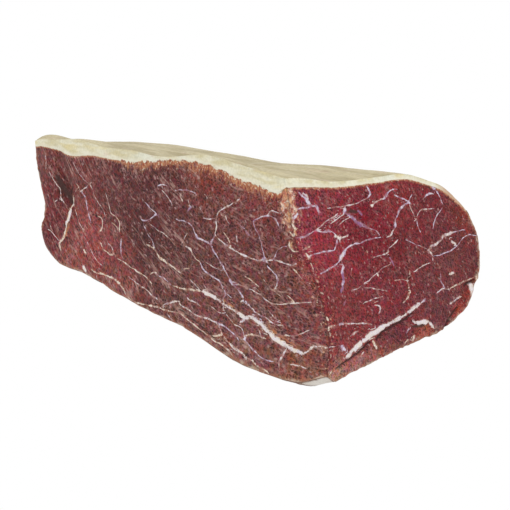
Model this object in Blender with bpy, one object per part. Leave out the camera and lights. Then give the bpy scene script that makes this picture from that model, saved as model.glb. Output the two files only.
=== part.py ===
"""A block of dried, salted beef: a lean body with two knife cuts, and the fat cap that lies along its top.

Metres, +Z up. The long cut faces -Y and the end cut faces +X, and the block rests on its pressed underside.
The origin is on the surface that it rests on, under the middle of the block's box.
"""

import math
from collections import namedtuple

import bmesh
import bpy
from mathutils import Vector, noise

# Driving sizes
LENGTH = 0.259  # along the foot of the long cut, from the left end to the corner where the cuts meet
DEPTH = 0.120  # from the long cut to the back
END_FOOT_HEIGHT = 0.006  # the end cut's foot, a little behind the corner
CORNER_LEAN = 0.349  # how far the end cut leans back over the block, for each metre of height
END_SLANT = 0.123  # how far the end cut runs on past the corner, for each metre of depth
JOIN_GAP = 0.0003  # clearance between the lean and the fat cap

# Lines along the long cut, as (share of the length from the left end, height)
FOOT_LINE = (
    (0.0, 0.0205), (0.18, 0.0195), (0.33, 0.0145), (0.46, 0.0112), (0.6, 0.0068), (0.67, 0.002),
    (0.75, 0.0), (0.92, 0.0), (1.0, 0.006),
)
FAT_FOOT_LINE = (
    (0.0, 0.097), (0.09, 0.0958), (0.2, 0.0928), (0.29, 0.0945), (0.42, 0.0943), (0.5, 0.095), (0.62, 0.098),
    (0.71, 0.0992), (0.8, 0.0972), (0.84, 0.095), (0.87, 0.0926), (0.93, 0.091), (0.97, 0.0888), (1.0, 0.092),
)
FAT_CROWN_LINE = (
    (0.0, 0.101), (0.22, 0.1022), (0.36, 0.1003), (0.48, 0.1013), (0.58, 0.0998), (0.65, 0.1005),
    (0.77, 0.1034), (0.88, 0.1003), (1.0, 0.0965),
)
# The same for the crest of the fat cap, further in
CREST_LINE = (
    (0.0, 0.0985), (0.3, 0.0985), (0.45, 0.0975), (0.55, 0.0955), (0.65, 0.0945), (0.82, 0.0945),
    (1.0, 0.0925),
)
FRONT_BAND = 0.3  # share of the depth in which those of the long cut give way to the surfaces further in

# The corner where the cuts meet, as (height, how far it stands out from the end cut's flat)
CORNER_LINE = (
    (0.0, -0.001), (0.009, 0.0), (0.02, 0.0035), (0.033, 0.0057), (0.046, 0.0058), (0.055, 0.0042),
    (0.062, 0.0), (0.069, -0.0032), (0.077, -0.0022), (0.085, -0.001), (0.094, 0.0), (0.11, 0.0),
)
CORNER_REACH = 0.03  # depth in which the corner's own line gives way to the flat of the end cut

# The top and the underside. Bands are shares of the depth
SHOULDER_START = 0.6  # where both begin to turn into the back
SHOULDER_TURN = math.radians(76)  # how far round they go before the back takes over
TOP_TURN, UNDER_TURN = 0.030, 0.026  # height of that turn, above and below
TOP_FALL, TOP_FALL_BAND = 0.004, (0.35, 0.85)  # how far the fat cap sinks from its crest, and where
CURL_HEIGHT, CURL_LENGTH, CURL_BACK = 0.0065, 0.035, 0.12  # its upturn at the left end, and where that peaks
THIN_FAT = 0.0028  # the fat cap's thickness away from the long cut
BACK_BULGE = 0.004
LIP, END_LIP = 0.0045, 0.0015  # rounding of the lower edges of the long cut and of the end cut
RIM, RIM_HEIGHT = 0.0028, 0.007  # the underside swelling out below the long cut, and how high

# Where the underside lifts towards the end cut
LIFT_START = (0.93, 0.8)  # share of the length where it begins: at the long cut, and further in
LIFT_BAND = (0.0, 0.25)  # depth between those
END_FOOT_BAND = (0.0, 0.08)
END_FOOT_SLOPE = 0.015  # how much higher the end cut's foot is at the back than at the corner

# The left end, where the muscle narrows
LEFT_START = 0.17  # share of the length where the underside, the back and the top begin to turn into it
LEFT_TURN = math.radians(72)
LEFT_UNDER_TURN, LEFT_BACK_TURN, LEFT_TOP_TURN = 0.026, 0.048, 0.0045
WAIST_HEIGHT, WAIST_WIDTH, WAIST_DEPTH = 0.054, 0.0165, 0.0115
WAIST_AT_BACK, WAIST_BAND = 0.25, (0.0, 0.6)  # what is left of the waist further in
LEFT_BULGE, LEFT_SLANT = 0.011, 0.012
NEAR_END = 0.1  # share of the length that counts as next to an end

# Furrows between muscles, as (points in the plane of the cut, half width, depth). Points of the long cut are
# (along from the left end, up), and points of the end cut are (in from the long cut, up)
LEFT_FURROW = (((0.026, 0.091), (0.036, 0.074), (0.043, 0.062)), 0.006, 0.004)
END_CREVICE = (((0.110, 0.0345), (0.101, 0.030), (0.090, 0.024), (0.081, 0.019)), 0.004, 0.0022)
LEFT_LOBE = ((0.018, 0.050), 0.018, 0.0015)  # the swelling left of the furrow: place, radius, height

# Unevenness of the uncut surfaces, and of the cuts
LUMP_SIZE, LUMP_HEIGHT, LUMP_BAND = 0.042, 0.0020, (0.0, 0.5)
FLOOR_CLEARANCE = 0.02  # height up to which the lumps stay off the surface that the block rests on
WAVE_SIZE, WAVE_HEIGHT = 0.030, 0.0007

# Mesh: rows along the length, across the depth and up the lean, and rows up the fat cap
ROWS_ALONG, ROWS_ACROSS, ROWS_UP, ROWS_FAT = 42, 20, 14, 2
CROWDING = 0.35  # how much closer the rows stand at the sides of the block than on average
SHARP_ANGLE = math.radians(40)

MEAT_COLOUR, MEAT_ROUGHNESS = (0.155, 0.030, 0.028, 1.0), 0.5
FAT_COLOUR, FAT_ROUGHNESS = (0.62, 0.53, 0.34, 1.0), 0.45


# What is the same all the way up, over one point of the plan: the shares of the length and of the depth, how
# far the left end has turned, and the heights of the underside, of the fat's foot and of the fat's top
Column = namedtuple("Column", "share back left_turn low seam top")


def mix(a, b, share):
    return a + (b - a) * share


def ramp(value, start, end):
    """0 before start and 1 after end, with level ends between."""
    x = min(max((value - start) / (end - start), 0.0), 1.0)
    return x * x * (3 - 2 * x)


def bell(value, centre, width):
    return math.exp(-(((value - centre) / width) ** 2))


def read_line(line, at):
    """The second number of a line where its first one is at, on a smooth curve through its points."""
    spans = len(line) - 1
    i = next((k for k in range(spans) if at <= line[k + 1][0]), spans - 1)
    slopes = []
    for k in (i, i + 1):
        before, after = line[max(k - 1, 0)], line[min(k + 1, spans)]
        slopes.append((after[1] - before[1]) / (after[0] - before[0]))
    (x0, z0), (x1, z1) = line[i], line[i + 1]
    width = x1 - x0
    u = (at - x0) / width
    return (
        (2 * u**3 - 3 * u**2 + 1) * z0
        + (u**3 - 2 * u**2 + u) * width * slopes[0]
        + (3 * u**2 - 2 * u**3) * z1
        + (u**3 - u**2) * width * slopes[1]
    )


def turn_in(distance, length, depth):
    """How far a rounded end has turned in, at a distance from the end."""
    near = min(max(1 - distance / length, 0.0), 1.0)
    return depth * (1 - math.sqrt(1 - near * near))


def lumps(point, size, height, layer):
    return height * noise.noise(Vector(point) / size + Vector((layer, 0, 0)))


def furrow(shape, along, up):
    """Depth of a furrow at a point in the plane of its cut."""
    points, half_width, depth = shape
    here = Vector((along, up))
    gaps = []
    for a, b in zip(points, points[1:]):
        a, b = Vector(a), Vector(b)
        share = min(max((here - a).dot(b - a) / (b - a).length_squared, 0.0), 1.0)
        gaps.append((here - a.lerp(b, share)).length)
    return depth * bell(min(gaps), 0, half_width)


def turned(row, start, turn):
    """Where a row of a rounded side lies, and how far it has turned. The side runs straight up to start."""
    if row <= start:
        return row, 0.0
    angle = (row - start) / (1 - start) * turn
    return start + (1 - start) * math.sin(angle) / math.sin(turn), 1 - math.cos(angle)


def column(s, t):
    """The column over row shares s, from the left end, and t, from the long cut."""
    back, back_turn = turned(t, SHOULDER_START, SHOULDER_TURN)
    from_end, left_turn = turned(1 - s, 1 - LEFT_START, LEFT_TURN)
    share = 1 - from_end
    inner = ramp(back, 0, FRONT_BAND)
    at_end = ramp(share, mix(*LIFT_START, ramp(back, *LIFT_BAND)), 1)

    belly = max(read_line(FOOT_LINE, share), 0.0) * (1 - inner)
    end_foot = mix(belly, END_FOOT_HEIGHT + END_FOOT_SLOPE * back, ramp(back, *END_FOOT_BAND))
    low = mix(belly, end_foot, at_end) + UNDER_TURN * back_turn + LEFT_UNDER_TURN * left_turn

    edge = read_line(FAT_CROWN_LINE, share)
    crest = read_line(CREST_LINE, share) - TOP_FALL * ramp(back, *TOP_FALL_BAND) * (1 - at_end / 2)
    top = mix(edge, crest, inner) - TOP_TURN * back_turn - LEFT_TOP_TURN * left_turn
    top += CURL_HEIGHT * (1 - ramp(share * LENGTH, 0, CURL_LENGTH)) * bell(back, CURL_BACK, CURL_BACK)
    top += lumps((share * LENGTH, back * DEPTH, 0), LUMP_SIZE, LUMP_HEIGHT / 2, 3) * inner * (1 - at_end)

    fat = mix(edge - read_line(FAT_FOOT_LINE, share), THIN_FAT, inner)
    return Column(share, back, left_turn, low, top - fat, top)


def end_cut_x(y, z):
    """Where the end cut lies, from the left end, at a depth behind the long cut and a height."""
    corner = read_line(CORNER_LINE, z) * (1 - ramp(y, 0, CORNER_REACH))
    return LENGTH - CORNER_LEAN * z + END_SLANT * y + corner - furrow(END_CREVICE, y, z)


def left_end_x(back, z):
    """Where the left end lies: waisted at the long cut, and swelling further in."""
    waist_left = mix(1, WAIST_AT_BACK, ramp(back, *WAIST_BAND))
    waist = WAIST_DEPTH * bell(z, WAIST_HEIGHT, WAIST_WIDTH) * waist_left
    return waist - LEFT_BULGE * math.sin(math.pi * back) + LEFT_SLANT * back


def front_y(along, z, low):
    """Where the long cut lies, with its rim below, its furrow and the swelling beside that."""
    place, radius, height = LEFT_LOBE
    swelling = height * bell(math.dist(place, (along, z)), 0, radius)
    rim = RIM * bell(z - low, RIM_HEIGHT, RIM_HEIGHT)
    wave = lumps((along, 0, z), WAVE_SIZE, WAVE_HEIGHT, 9)
    return turn_in(z - low, LIP, LIP) - rim + furrow(LEFT_FURROW, along, z) - swelling + wave


def flesh_point(place, z):
    """A point of the block, at height z in the column called place."""
    depth = place.back * DEPTH
    along = mix(left_end_x(place.back, z), end_cut_x(depth, z), place.share)
    above = z - place.low
    x = along - turn_in(above, END_LIP, END_LIP) * ramp(place.share, 1 - NEAR_END, 1)

    up = above / (place.top - place.low)
    rear = DEPTH - LEFT_BACK_TURN * place.left_turn + BACK_BULGE * (4 * up * (1 - up) - 1)
    y = mix(front_y(along, z, place.low), rear, place.back)

    uncut = ramp(place.back, *LUMP_BAND) * ramp(z, 0, FLOOR_CLEARANCE)
    y += lumps((x, y, z), LUMP_SIZE, LUMP_HEIGHT, 21) * uncut
    x += lumps((x, y, z), LUMP_SIZE, LUMP_HEIGHT, 33) * uncut * (1 - ramp(place.share, 0, NEAR_END))
    return Vector((x, y, z))


def block_grid(rows):
    """A unit block whose sides are divided into rows along X, Y and Z."""
    bm = bmesh.new()
    bmesh.ops.create_cube(bm, size=1.0)
    bmesh.ops.translate(bm, verts=bm.verts, vec=(0.5, 0.5, 0.5))
    for axis, count in enumerate(rows):
        edges = [e for e in bm.edges if abs(e.verts[0].co[axis] - e.verts[1].co[axis]) > 0.5]
        bmesh.ops.subdivide_edges(bm, edges=edges, cuts=count - 1, use_grid_fill=True)
    return bm


def crowd(share):
    """Moves the rows towards the two sides of the block."""
    return share - CROWDING * math.sin(2 * math.pi * share) / (2 * math.pi)


def lean_span(place):
    return place.low, place.seam - JOIN_GAP / 2


def fat_span(place):
    return place.seam + JOIN_GAP / 2, place.top


def shape_tissue(name, rows, span, material):
    """One tissue: a divided block whose every point is carried to its place between the span's heights."""
    bm = block_grid(rows)
    for vertex in bm.verts:
        s, t, h = (crowd(share) for share in vertex.co)
        place = column(s, t)
        vertex.co = flesh_point(place, mix(*span(place), h))
    bmesh.ops.triangulate(bm, faces=bm.faces)
    mesh = bpy.data.meshes.new(name)
    bm.to_mesh(mesh)
    bm.free()
    mesh.materials.append(material)
    mesh.shade_smooth()
    mesh.set_sharp_from_angle(angle=SHARP_ANGLE)
    obj = bpy.data.objects.new(name, mesh)
    bpy.context.scene.collection.objects.link(obj)
    return obj


def make_material(name, colour, roughness):
    material = bpy.data.materials.new(name)
    material.use_nodes = True
    shader = material.node_tree.nodes["Principled BSDF"]
    shader.inputs["Base Color"].default_value = colour
    shader.inputs["Roughness"].default_value = roughness
    shader.inputs["Metallic"].default_value = 0.0
    return material


def stand_on_origin(objects):
    """Moves the tissues together, so that the origin is under the middle of the block's box."""
    points = [v.co for obj in objects for v in obj.data.vertices]
    lowest = Vector(min(p[axis] for p in points) for axis in range(3))
    highest = Vector(max(p[axis] for p in points) for axis in range(3))
    middle = (lowest + highest) / 2
    for obj in objects:
        for vertex in obj.data.vertices:
            vertex.co -= Vector((middle.x, middle.y, lowest.z))


def main():
    for obj in list(bpy.data.objects):
        bpy.data.objects.remove(obj)
    meat = make_material("cured_meat", MEAT_COLOUR, MEAT_ROUGHNESS)
    fat = make_material("cured_fat", FAT_COLOUR, FAT_ROUGHNESS)
    lean_beef = shape_tissue("lean_beef", (ROWS_ALONG, ROWS_ACROSS, ROWS_UP), lean_span, meat)
    fat_cap = shape_tissue("fat_cap", (ROWS_ALONG, ROWS_ACROSS, ROWS_FAT), fat_span, fat)
    stand_on_origin([lean_beef, fat_cap])


main()
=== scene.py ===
import math

import bmesh
import bpy
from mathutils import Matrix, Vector, noise
from mathutils.bvhtree import BVHTree
from mathutils.kdtree import KDTree


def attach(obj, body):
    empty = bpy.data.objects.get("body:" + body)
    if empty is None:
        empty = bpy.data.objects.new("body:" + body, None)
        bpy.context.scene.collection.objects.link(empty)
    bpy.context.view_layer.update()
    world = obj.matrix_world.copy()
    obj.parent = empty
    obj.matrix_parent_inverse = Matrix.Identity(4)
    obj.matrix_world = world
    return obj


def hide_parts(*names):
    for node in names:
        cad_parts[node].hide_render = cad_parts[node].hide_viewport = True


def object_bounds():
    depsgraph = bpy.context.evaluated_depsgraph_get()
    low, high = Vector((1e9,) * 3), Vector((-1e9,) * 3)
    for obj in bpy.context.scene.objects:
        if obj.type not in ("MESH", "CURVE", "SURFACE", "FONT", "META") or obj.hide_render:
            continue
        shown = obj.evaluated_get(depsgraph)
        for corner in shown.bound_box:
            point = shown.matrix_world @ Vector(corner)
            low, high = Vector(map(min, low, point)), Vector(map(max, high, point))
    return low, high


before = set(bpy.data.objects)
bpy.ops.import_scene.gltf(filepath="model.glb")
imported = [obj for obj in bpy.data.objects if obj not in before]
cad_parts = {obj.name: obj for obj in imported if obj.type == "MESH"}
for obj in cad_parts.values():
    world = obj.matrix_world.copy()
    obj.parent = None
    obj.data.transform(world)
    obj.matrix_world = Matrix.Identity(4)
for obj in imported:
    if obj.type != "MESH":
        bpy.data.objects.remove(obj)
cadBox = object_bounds()
print("frame loaded")


# The photographer's camera, set so that the block's long edges, its end cut and its foot agree with it
photoView = {
    "place": (0.3499, -0.3179, 0.1422),
    "look": (-0.7044, 0.6751, -0.2195),
    "lens": 56.47,  # mm
    "sensor": 36.0,  # mm
    "pixels": 510,
}

# The planes of the two knife cuts, which their relief is measured from
longCut = {"point": Vector((0, -0.0582, 0)), "normal": Vector((0, -1, 0)), "face": 0}
endCut = {"point": Vector((0.13836, 0, 0)), "normal": Vector((1, -0.123, 0.349)).normalized(), "face": 1}
outsideFace, joinFace = 2, 3


def aimCamera(view):
    data = bpy.data.cameras.new("photoCamera")
    data.lens = view["lens"]
    data.sensor_width = view["sensor"]
    camera = bpy.data.objects.new("photoCamera", data)
    bpy.context.scene.collection.objects.link(camera)
    camera.location = view["place"]
    camera.rotation_mode = "QUATERNION"
    camera.rotation_quaternion = Vector(view["look"]).to_track_quat("-Z", "Y")
    bpy.context.scene.camera = camera


def pixelRay(pixel):
    focal = photoView["lens"] / photoView["sensor"] * photoView["pixels"]
    forward = Vector(photoView["look"]).normalized()
    right = forward.cross(Vector((0, 0, 1))).normalized()
    up = right.cross(forward)
    half = photoView["pixels"] / 2
    return (forward * focal + right * (pixel[0] - half) - up * (pixel[1] - half)).normalized()


def ramp(value, start, end):
    x = min(max((value - start) / (end - start), 0.0), 1.0)
    return x * x * (3 - 2 * x)


def bell(value, width):
    return math.exp(-((value / width) ** 2))


# Shapes. Each tissue starts as a copy of its own solid, is smoothed, and its cut faces are divided once more
shapeValues = {
    "merge": 0.00001,
    "smoothing": 2,
    "sharp": math.radians(40),
    "joinReach": 0.0006,  # what lies closer to the other tissue than this is where they join
    "cutTurn": 0.62,  # how squarely a face has to look along a cut's normal to belong to it
    "cutReach": 0.011,
    "snapReach": 0.0015,
}


def startTissue(node):
    bm = bmesh.new()
    bm.from_mesh(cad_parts[node].data)
    bmesh.ops.remove_doubles(bm, verts=bm.verts, dist=shapeValues["merge"])
    bmesh.ops.join_triangles(
        bm, faces=bm.faces, angle_face_threshold=shapeValues["sharp"], angle_shape_threshold=math.pi
    )
    bm.normal_update()
    return bm


def sortFaces(bm, other):
    for face in bm.faces:
        middle = face.calc_center_median()
        face.material_index = outsideFace
        for cut in (longCut, endCut):
            near = abs((middle - cut["point"]).dot(cut["normal"])) < shapeValues["cutReach"]
            if near and face.normal.dot(cut["normal"]) > shapeValues["cutTurn"]:
                face.material_index = cut["face"]
        if max(other.find_nearest(v.co)[3] for v in face.verts) < shapeValues["joinReach"]:
            # a thin edge of the fat lies close to the lean too, but only its underside looks at it
            if (other.find_nearest(middle)[0] - middle).normalized().dot(face.normal) > 0.5:
                face.material_index = joinFace


def creaseEdges(bm):
    crease = bm.edges.layers.float.new("crease_edge")
    for edge in bm.edges:
        first, second = edge.link_faces
        if first.material_index != second.material_index or edge.calc_face_angle() > shapeValues["sharp"]:
            edge[crease] = 1.0


def smoothTissue(bm, name):
    mesh = bpy.data.meshes.new(name)
    bm.to_mesh(mesh)
    bm.free()
    piece = bpy.data.objects.new(name, mesh)
    bpy.context.scene.collection.objects.link(piece)
    smoother = piece.modifiers.new("smoother", "SUBSURF")
    smoother.levels = smoother.render_levels = shapeValues["smoothing"]
    reader = bpy.context.evaluated_depsgraph_get()
    piece.data = bpy.data.meshes.new_from_object(piece.evaluated_get(reader))
    piece.modifiers.clear()
    bm = bmesh.new()
    bm.from_mesh(piece.data)
    fine = {e for f in bm.faces if f.material_index in (longCut["face"], endCut["face"]) for e in f.edges}
    bmesh.ops.subdivide_edges(bm, edges=list(fine), cuts=1, use_grid_fill=True)
    bm.normal_update()
    return piece, bm


def makeTissues():
    coarse = {node: startTissue(node) for node in ("lean_beef", "fat_cap")}
    trees = {node: BVHTree.FromBMesh(bm) for node, bm in coarse.items()}
    sortFaces(coarse["lean_beef"], trees["fat_cap"])
    sortFaces(coarse["fat_cap"], trees["lean_beef"])
    made = {}
    for node, name in (("lean_beef", "leanBlock"), ("fat_cap", "fatCap")):
        creaseEdges(coarse[node])
        made[name] = smoothTissue(coarse[node], name)
    return made


tissues = makeTissues()
for name, (piece, bm) in tissues.items():
    print("smoothed", name, len(bm.faces), "faces")


# Lines and marks that show on the cuts, each as (half width in mm, tint, points in the photograph's pixels).
# Tints run from orange, over tan, cream, white and lilac, to purple
orange, tan, cream, white, lilac, purple = 0.0, 0.2, 0.4, 0.6, 0.8, 1.0

veins = {
    "left lobe": [
        (0.5, white, [(45.6, 156), (46.3, 162), (46, 169)]),
        (0.25, white, [(49, 171), (56, 184), (60, 190), (61.7, 199), (68, 206.5)]),
        (0.7, white, [(60.8, 197), (62, 200.5)]),
        (0.9, cream, [(73.7, 197), (73, 204.5), (70, 211), (66.6, 226), (63.4, 238), (59.6, 241), (61.7, 248)]),
        (1.9, white, [(71.5, 208), (70, 213), (68.2, 219), (66.2, 226)]),
        (0.8, orange, [(69.5, 223), (67.5, 230), (66, 236)]),
        (0.3, white, [(48, 229), (52.5, 232), (59.6, 240.6)]),
        (0.25, white, [(50, 222), (52.5, 231)]),
        (0.3, cream, [(72.6, 196), (76.5, 190), (79, 187), (76.4, 183.5)]),
    ],
    "left fan": [
        (0.25, white, [(73, 163), (78.5, 173), (85, 180.5), (91.5, 187), (96, 199), (103.5, 210), (105.6, 217)]),
        (0.25, white, [(79.6, 192.4), (87.2, 186), (92, 182)]),
        (0.55, lilac, [(82, 192.5), (85.6, 197), (87.2, 208), (91, 222)]),
        (0.25, white, [(105.6, 192.4), (109, 204.3), (111, 213)]),
        (0.45, cream, [(111, 213), (116.5, 217.3), (119.7, 222.7), (119.7, 232.5)]),
        (0.75, lilac, [(121.4, 238.5), (120.8, 246), (121.9, 256)]),
        (0.5, cream, [(98, 216.2), (102.4, 219.5), (101.3, 229.2), (98, 232.5)]),
        (0.3, white, [(84, 236.3), (89.4, 245.5), (94.8, 257.4), (102.4, 266)]),
        (0.6, cream, [(100.2, 242.2), (103.5, 248.8), (110, 254.2), (114.3, 254.7)]),
        (0.4, cream, [(117.6, 258.5), (124, 261.8), (132.7, 268.3), (144.7, 276), (152, 283)]),
        (0.3, white, [(114, 255), (112, 247), (108, 243)]),
        (0.3, cream, [(111.5, 222.5), (117, 227), (118, 230)]),
        (0.35, white, [(58, 199.5), (55, 202)]),
        (0.7, cream, [(84, 250), (86, 253)]),
        (0.3, white, [(71.5, 197), (76.5, 213), (80.5, 225), (84.5, 231)]),
    ],
    "middle": [
        (0.55, cream, [(146.8, 244.4), (155.5, 249.8), (159.8, 257.4), (171.8, 266.1), (181, 273)]),
        (0.3, lilac, [(140.3, 217.3), (143.6, 220.6), (149, 219.5), (155.5, 215.2), (159.8, 214)]),
        (0.3, lilac, [(144.7, 202.1), (150, 207.6), (156.6, 214), (159.8, 218.4)]),
        (0.3, lilac, [(143.6, 225), (149, 235.7), (152.2, 240), (155.5, 247.7)]),
        (0.25, white, [(149, 222.7), (156.6, 229.2), (164.2, 233.6), (171.8, 241.2), (176, 246)]),
        (0.25, white, [(162, 190.2), (168.5, 197.8), (172.8, 205.4)]),
        (0.35, lilac, [(157.7, 186), (163, 184.8), (167, 185.5)]),
        (0.6, white, [(175, 189.5), (177.5, 191)]),
        (0.4, lilac, [(177, 190), (183.6, 189.6), (193.4, 191.8), (196.6, 195)]),
        (0.6, cream, [(180.4, 195), (182.5, 200.5)]),
        (0.4, purple, [(188, 211.3), (191.2, 207)]),
        (0.4, lilac, [(176, 219), (179.3, 220), (187, 222.1), (192.3, 226.5), (194.4, 233)]),
        (1.0, lilac, [(194.4, 232), (197.5, 239)]),
        (0.5, lilac, [(197.7, 238.4), (204.2, 240.6), (209.6, 243.8), (215, 252.5), (220.5, 262.3), (224.8, 269.8),
                      (231.3, 281.8), (236.7, 288.3), (244.3, 298.5)]),
        (0.9, lilac, [(230.5, 281), (232.5, 284)]),
        (1.0, lilac, [(243, 297), (243.5, 301)]),
        (0.6, lilac, [(209.6, 243.8), (214, 238.4), (215, 234)]),
        (0.5, white, [(215, 234), (216.7, 226.5), (216, 220), (219.4, 211.3), (226, 207), (232.4, 203.7), (239, 199.4)]),
        (0.8, cream, [(216.3, 225), (216.5, 228)]),
        (0.3, white, [(203, 217.8), (209, 219), (215, 218.9)]),
        (0.55, white, [(215, 234), (220.5, 240.6), (234.6, 250.3), (243.2, 254.7), (254, 259), (265, 260.6),
                       (272.5, 260.1), (280, 261.7), (292, 265.5), (296.3, 263.3)]),
        (0.9, lilac, [(263.5, 259.5), (267, 261)]),
        (0.45, cream, [(293, 268), (297, 272.5), (301.8, 278)]),
        (0.4, lilac, [(265, 260.6), (262.7, 249.2), (259.5, 236.2), (256.2, 229.7), (253, 221)]),
        (0.25, lilac, [(253, 221), (258.4, 218.3), (267, 215.6), (275.7, 219), (280, 229.7)]),
        (0.3, lilac, [(272.5, 260), (275.7, 254.7), (279, 249.2), (286.6, 246)]),
        (0.25, white, [(267, 215.6), (272, 211), (281, 213), (285, 208)]),
        (0.35, lilac, [(267, 265.5), (273.6, 272), (277.9, 278.5), (276.8, 287)]),
        (0.8, lilac, [(276.8, 276), (278.5, 280)]),
        (0.8, white, [(277.3, 285.5), (275.5, 288.5)]),
        (0.8, white, [(185, 246), (190.1, 249.2), (192, 254)]),
        (0.35, cream, [(191, 251), (195.5, 257.9), (199.9, 261.2)]),
        (0.4, lilac, [(199.9, 261.2), (202.5, 268), (207.6, 273.2), (219, 280.8), (224.2, 291), (232, 298)]),
        (0.25, white, [(206.4, 262.3), (217.2, 268.8), (222, 271)]),
        (0.3, white, [(224.8, 215.6), (229.1, 223.2)]),
        (0.45, white, [(236.7, 236.2), (237.8, 241.7)]),
        (0.35, white, [(199.9, 206), (203.1, 213.5)]),
        (0.35, lilac, [(237.8, 223.2), (245.4, 229.7)]),
        (0.7, purple, [(247.5, 233), (249.5, 235)]),
        (0.25, cream, [(245.4, 276.3), (252, 281), (259, 287)]),
        (0.25, cream, [(224, 232), (228, 238), (231, 244)]),
        (0.25, white, [(188, 200), (190, 206)]),
        (0.25, white, [(182, 244), (184, 239), (187, 233)]),
        (0.2, white, [(204, 193), (207, 197), (207, 203)]),
    ],
    "lower middle": [
        (0.55, cream, [(173, 285.5), (180, 287.5), (188, 289.5), (196, 290.2), (204, 292.5)]),
        (1.25, white, [(201.5, 291.2), (208, 293.6), (215.5, 298.2), (219, 301)]),
        (0.6, white, [(216, 298.5), (221, 302.5), (227, 306), (234, 310.5), (239, 313.5)]),
        (1.3, white, [(235.5, 311.2), (240, 314), (246, 317.4), (250, 317.6)]),
        (0.9, white, [(245, 317), (252.3, 317.4), (258, 319.5)]),
        (1.6, white, [(252.5, 317.5), (257, 319.5), (260.5, 323.5), (264, 328)]),
        (1.1, white, [(261, 324.5), (266, 329.6), (272.2, 335.7), (276, 338.5)]),
        (1.5, white, [(268.5, 332.5), (274, 337.3), (280, 341.3), (287.5, 346.4), (290, 348)]),
        (1.1, white, [(285, 345), (290, 347.9), (295.1, 350.3), (304, 353.5)]),
        (0.6, white, [(304, 353), (310.4, 349.5), (313.5, 346.7)]),
        (0.9, white, [(311, 348), (314, 346.4), (317.5, 347)]),
        (0.6, white, [(313.5, 346.7), (320, 346.6), (329.5, 347.2)]),
        (0.6, white, [(287, 348), (284.5, 352.5), (282, 356.5), (278.5, 359.5)]),
        (0.4, white, [(280.5, 357.5), (279.5, 361.5), (280, 366)]),
        (0.45, white, [(161.9, 303.6), (166.5, 301.3), (178.8, 299.7), (180.3, 302.8), (188, 307.4), (197.1, 314.3),
                       (206.3, 317.3), (214, 320.4)]),
        (0.45, white, [(214, 320.4), (219.5, 325.5), (221.6, 330.5)]),
        (0.5, cream, [(221.6, 330), (220.4, 334.2), (210.2, 334.4)]),
        (0.4, lilac, [(214, 320.4), (221.6, 324.2), (227.8, 328.1), (233.9, 333.4), (239.2, 339.5)]),
        (0.7, lilac, [(244.6, 338.2), (246, 335.5)]),
        (0.45, cream, [(244.6, 335.7), (252.3, 334.2), (259.9, 335.7), (266, 338.5)]),
        (0.6, white, [(258, 328), (261.2, 336)]),
        (0.5, white, [(168, 310.2), (170, 313.5), (173.2, 316.8)]),
        (0.35, cream, [(161.9, 305.1), (172.7, 308.9), (180.3, 311.2), (188, 317.3), (197.1, 325), (206.3, 332.7)]),
        (0.4, cream, [(206.3, 332.7), (212.5, 338), (220.1, 341.8), (227.8, 346.4), (233.9, 352.6), (243.1, 360.2),
                      (252.3, 366.3), (258.4, 370.9)]),
        (0.25, cream, [(223.2, 337.2), (230.8, 341.8), (240, 348), (249.2, 354.1), (258.4, 360.2), (267.6, 364.8),
                       (276.7, 370.9)]),
        (0.3, white, [(223.2, 308.2), (227.8, 315.8), (233.9, 323.5), (241.5, 328.1), (244.6, 335.7)]),
        (0.6, white, [(240.8, 321.9), (244.6, 319.6)]),
        (0.35, white, [(258.4, 329.6), (260.7, 335.7), (263.7, 338)]),
        (0.55, orange, [(267, 324), (275, 331.5), (283, 337.5), (291, 343), (297, 347)]),
        (0.45, orange, [(222, 298.5), (228, 303), (235, 307.5)]),
        (0.25, white, [(203.3, 282.9), (207.1, 289.8)]),
        (0.3, white, [(243.1, 302), (252.3, 308.2), (259.9, 314.3), (267.6, 318.9), (273.7, 323.5), (282.9, 325)]),
        (0.35, white, [(223, 334.4), (234.4, 345.9), (245.9, 353.5), (255.5, 365.5)]),
        (0.3, lilac, [(243.5, 338), (249.2, 343.4), (255.3, 349.5), (264.5, 355.6), (273.7, 358.7)]),
        (0.45, white, [(252.2, 354.8), (258.6, 360)]),
        (0.35, white, [(290.5, 362.4), (298, 364), (307, 367.5)]),
        (1.3, cream, [(307, 380), (316, 378.5), (324, 377)]),
        (1.8, white, [(318, 379), (325, 377.5), (332, 376.5)]),
        (0.4, lilac, [(224.2, 269.3), (231.8, 282)]),
        (0.5, lilac, [(243.3, 298.7), (249, 305), (254.8, 311.4), (262.4, 317)]),
        (0.4, white, [(240.8, 302), (243.3, 298.7)]),
        (0.3, white, [(233, 282), (248.4, 288.5), (260, 294.8), (270, 302.5), (281.6, 304.4), (295.6, 303), (311, 302)]),
        (0.25, cream, [(263.7, 279.5), (272.7, 289.7), (281, 297)]),
        (0.4, white, [(285.4, 334.4), (291.8, 336.3), (300.7, 333.8), (309.6, 330.2)]),
        (0.3, cream, [(286.7, 294.8), (294.3, 301.2)]),
        (0.4, white, [(268, 309), (274, 317), (280, 321)]),
        (1.6, white, [(83.5, 267), (85.5, 270)]),
        (0.6, cream, [(91, 269), (97.7, 273), (108.4, 275.3), (117.6, 280.6), (124.4, 288.3)]),
        (0.4, cream, [(124.4, 288.3), (128, 293.5), (135.9, 298.2), (148.2, 300.5), (161.9, 304.6)]),
        (0.3, white, [(97.7, 273), (96.5, 278), (98, 282)]),
        (0.3, white, [(128, 276), (138, 283), (150, 291), (158, 297)]),
        (0.3, lilac, [(155, 273), (165, 279), (172, 285)]),
        (0.4, white, [(187, 297), (190, 299.5), (196, 302.5), (201, 306)]),
        (0.25, white, [(189.5, 279.1), (197.1, 286.7), (200.2, 290.6)]),
        (0.3, cream, [(184, 269.5), (187, 268.5), (190, 268)]),
        (0.3, cream, [(150, 274), (153, 272), (157, 273)]),
        (0.35, lilac, [(222, 301), (226, 294), (224, 290)]),
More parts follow.
